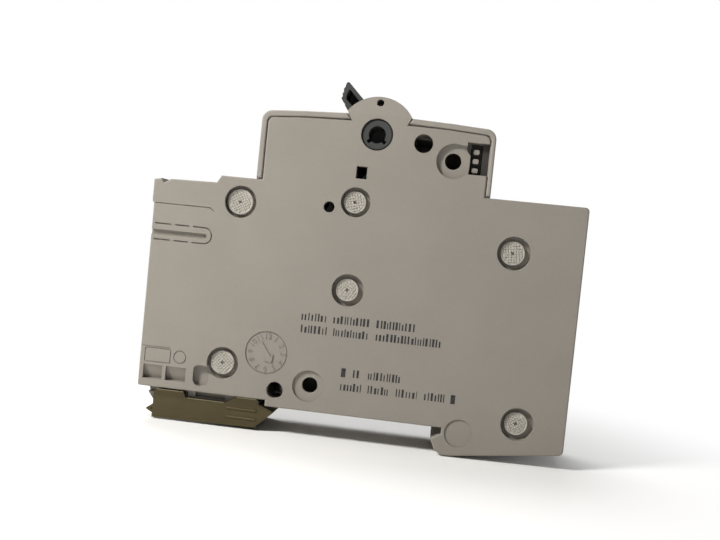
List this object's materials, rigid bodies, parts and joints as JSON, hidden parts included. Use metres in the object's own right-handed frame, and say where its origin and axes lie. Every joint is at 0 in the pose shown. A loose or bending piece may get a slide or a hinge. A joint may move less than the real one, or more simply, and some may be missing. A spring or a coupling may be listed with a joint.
{
  "type": "modular circuit breaker",
  "caption": "Slim rail-mounted switchgear module with a rocking toggle, clamp terminals at both ends and a sliding spring latch.",
  "frame": {"origin": "on the rail seat plane, at the middle of the nose and of the module width", "axes": "+X along the device height towards the fixed rail hook, +Y across the module width towards the base half, +Z away from the rail towards the toggle"},
  "size_m": [0.0832, 0.0176, 0.0692],
  "materials": {
    "casing_plastic": "moulded light grey thermoplastic, fine texture",
    "fascia_plastic": "moulded light grey, smoother",
    "toggle_plastic": "dark grey moulded",
    "stake_plastic": "knurled stake heads",
    "clip_steel": "olive passivated zinc plate",
    "plated_steel": "zinc plated",
    "spring_steel": "drawn wire",
    "copper": "bare copper",
    "contact_silver": "silver alloy",
    "bimetal": "rolled strip",
    "mechanism_plastic": "filled thermoset",
    "fibre_board": "vulcanised fibre"
  },
  "bodies": {
    "casing": {"base_shell": "casing_plastic", "cover_shell": "casing_plastic", "lower_fascia": "fascia_plastic", "upper_fascia": "fascia_plastic", "casing_rivets": "stake_plastic", "toggle_spring": "spring_steel", "carrier_pin": "plated_steel", "contact_spring": "spring_steel", "trip_lever_pin": "plated_steel", "trip_spring": "spring_steel", "bimetal_strip": "bimetal", "bimetal_bracket": "plated_steel", "calibration_screw": "plated_steel", "flexible_braid": "copper", "solenoid_coil": "copper", "coil_bobbin": "mechanism_plastic", "solenoid_yoke": "plated_steel", "fixed_core": "plated_steel", "plunger_spring": "spring_steel", "fixed_contact_arm": "copper", "fixed_contact_tip": "contact_silver", "arc_chute_plates": "plated_steel", "arc_chute_side_walls": "fibre_board", "upper_arc_runner": "plated_steel", "lower_arc_runner": "plated_steel", "load_conductor_bar": "copper", "line_conductor_bar": "copper", "clip_spring": "spring_steel"},
    "toggle": {"toggle_lever": "toggle_plastic"},
    "link": {"link_wire": "spring_steel"},
    "carrier": {"contact_carrier": "mechanism_plastic", "moving_contact_arm": "copper", "moving_contact_tip": "contact_silver"},
    "trip": {"trip_lever": "mechanism_plastic"},
    "armature": {"plunger": "plated_steel", "hammer_pin": "plated_steel"},
    "latch": {"rail_clip": "clip_steel"},
    "load_screw": {"load_terminal_screw": "plated_steel"},
    "load_cage": {"load_terminal_cage": "plated_steel"},
    "line_screw": {"line_terminal_screw": "plated_steel"},
    "line_cage": {"line_terminal_cage": "plated_steel"}
  },
  "joints": [
    {"name": "toggle_swing", "type": "hinge", "parent": "casing", "child": "toggle", "pos_m": [0, 0, 0.054], "axis": [0, 1, 0], "range_deg": [0, 76], "deforming": ["toggle_spring"]},
    {"name": "link_swing", "type": "hinge", "parent": "toggle", "child": "link", "pos_m": [0.00246, 0, 0.05085], "axis": [0, 1, 0], "range_deg": [-77, 0]},
    {"name": "carrier_swing", "type": "hinge", "parent": "casing", "child": "carrier", "pos_m": [-0.012, 0, 0.028], "axis": [0, 1, 0], "range_deg": [-19.02, 0], "deforming": ["contact_spring", "flexible_braid"]},
    {"name": "plunger_slide", "type": "slide", "parent": "casing", "child": "armature", "axis": [-1, 0, 0], "range_m": [0, 0.003], "deforming": ["plunger_spring"]},
    {"name": "trip_lever_swing", "type": "hinge", "parent": "casing", "child": "trip", "pos_m": [0.0035, 0, 0.0385], "axis": [0, 1, 0], "range_deg": [0, 12], "deforming": ["trip_spring"]},
    {"name": "latch_slide", "type": "slide", "parent": "casing", "child": "latch", "axis": [-1, 0, 0], "range_m": [0, 0.004], "deforming": ["clip_spring"]},
    {"name": "load_screw_turn", "type": "hinge", "parent": "casing", "child": "load_screw", "pos_m": [-0.0345, 0, 0.036], "axis": [0, 0, -1], "range_deg": [0, 1620]},
    {"name": "load_cage_lift", "type": "slide", "parent": "casing", "child": "load_cage", "axis": [0, 0, 1], "range_m": [0, 0.0036]},
    {"name": "line_screw_turn", "type": "hinge", "parent": "casing", "child": "line_screw", "pos_m": [0.0348, 0, 0.038], "axis": [0, 0, -1], "range_deg": [0, 1620]},
    {"name": "line_cage_lift", "type": "slide", "parent": "casing", "child": "line_cage", "axis": [0, 0, 1], "range_m": [0, 0.0036]}
  ],
  "couplings": [
    {"joint": "link_swing", "follows": "toggle_swing", "ratio": -1.01},
    {"joint": "carrier_swing", "follows": "toggle_swing", "ratio": -0.25},
    {"joint": "trip_lever_swing", "follows": "plunger_slide", "rad_per_m": 69.803},
    {"joint": "load_screw_turn", "follows": "load_cage_lift", "rad_per_m": 7853.9},
    {"joint": "line_screw_turn", "follows": "line_cage_lift", "rad_per_m": 7853.9}
  ]
}
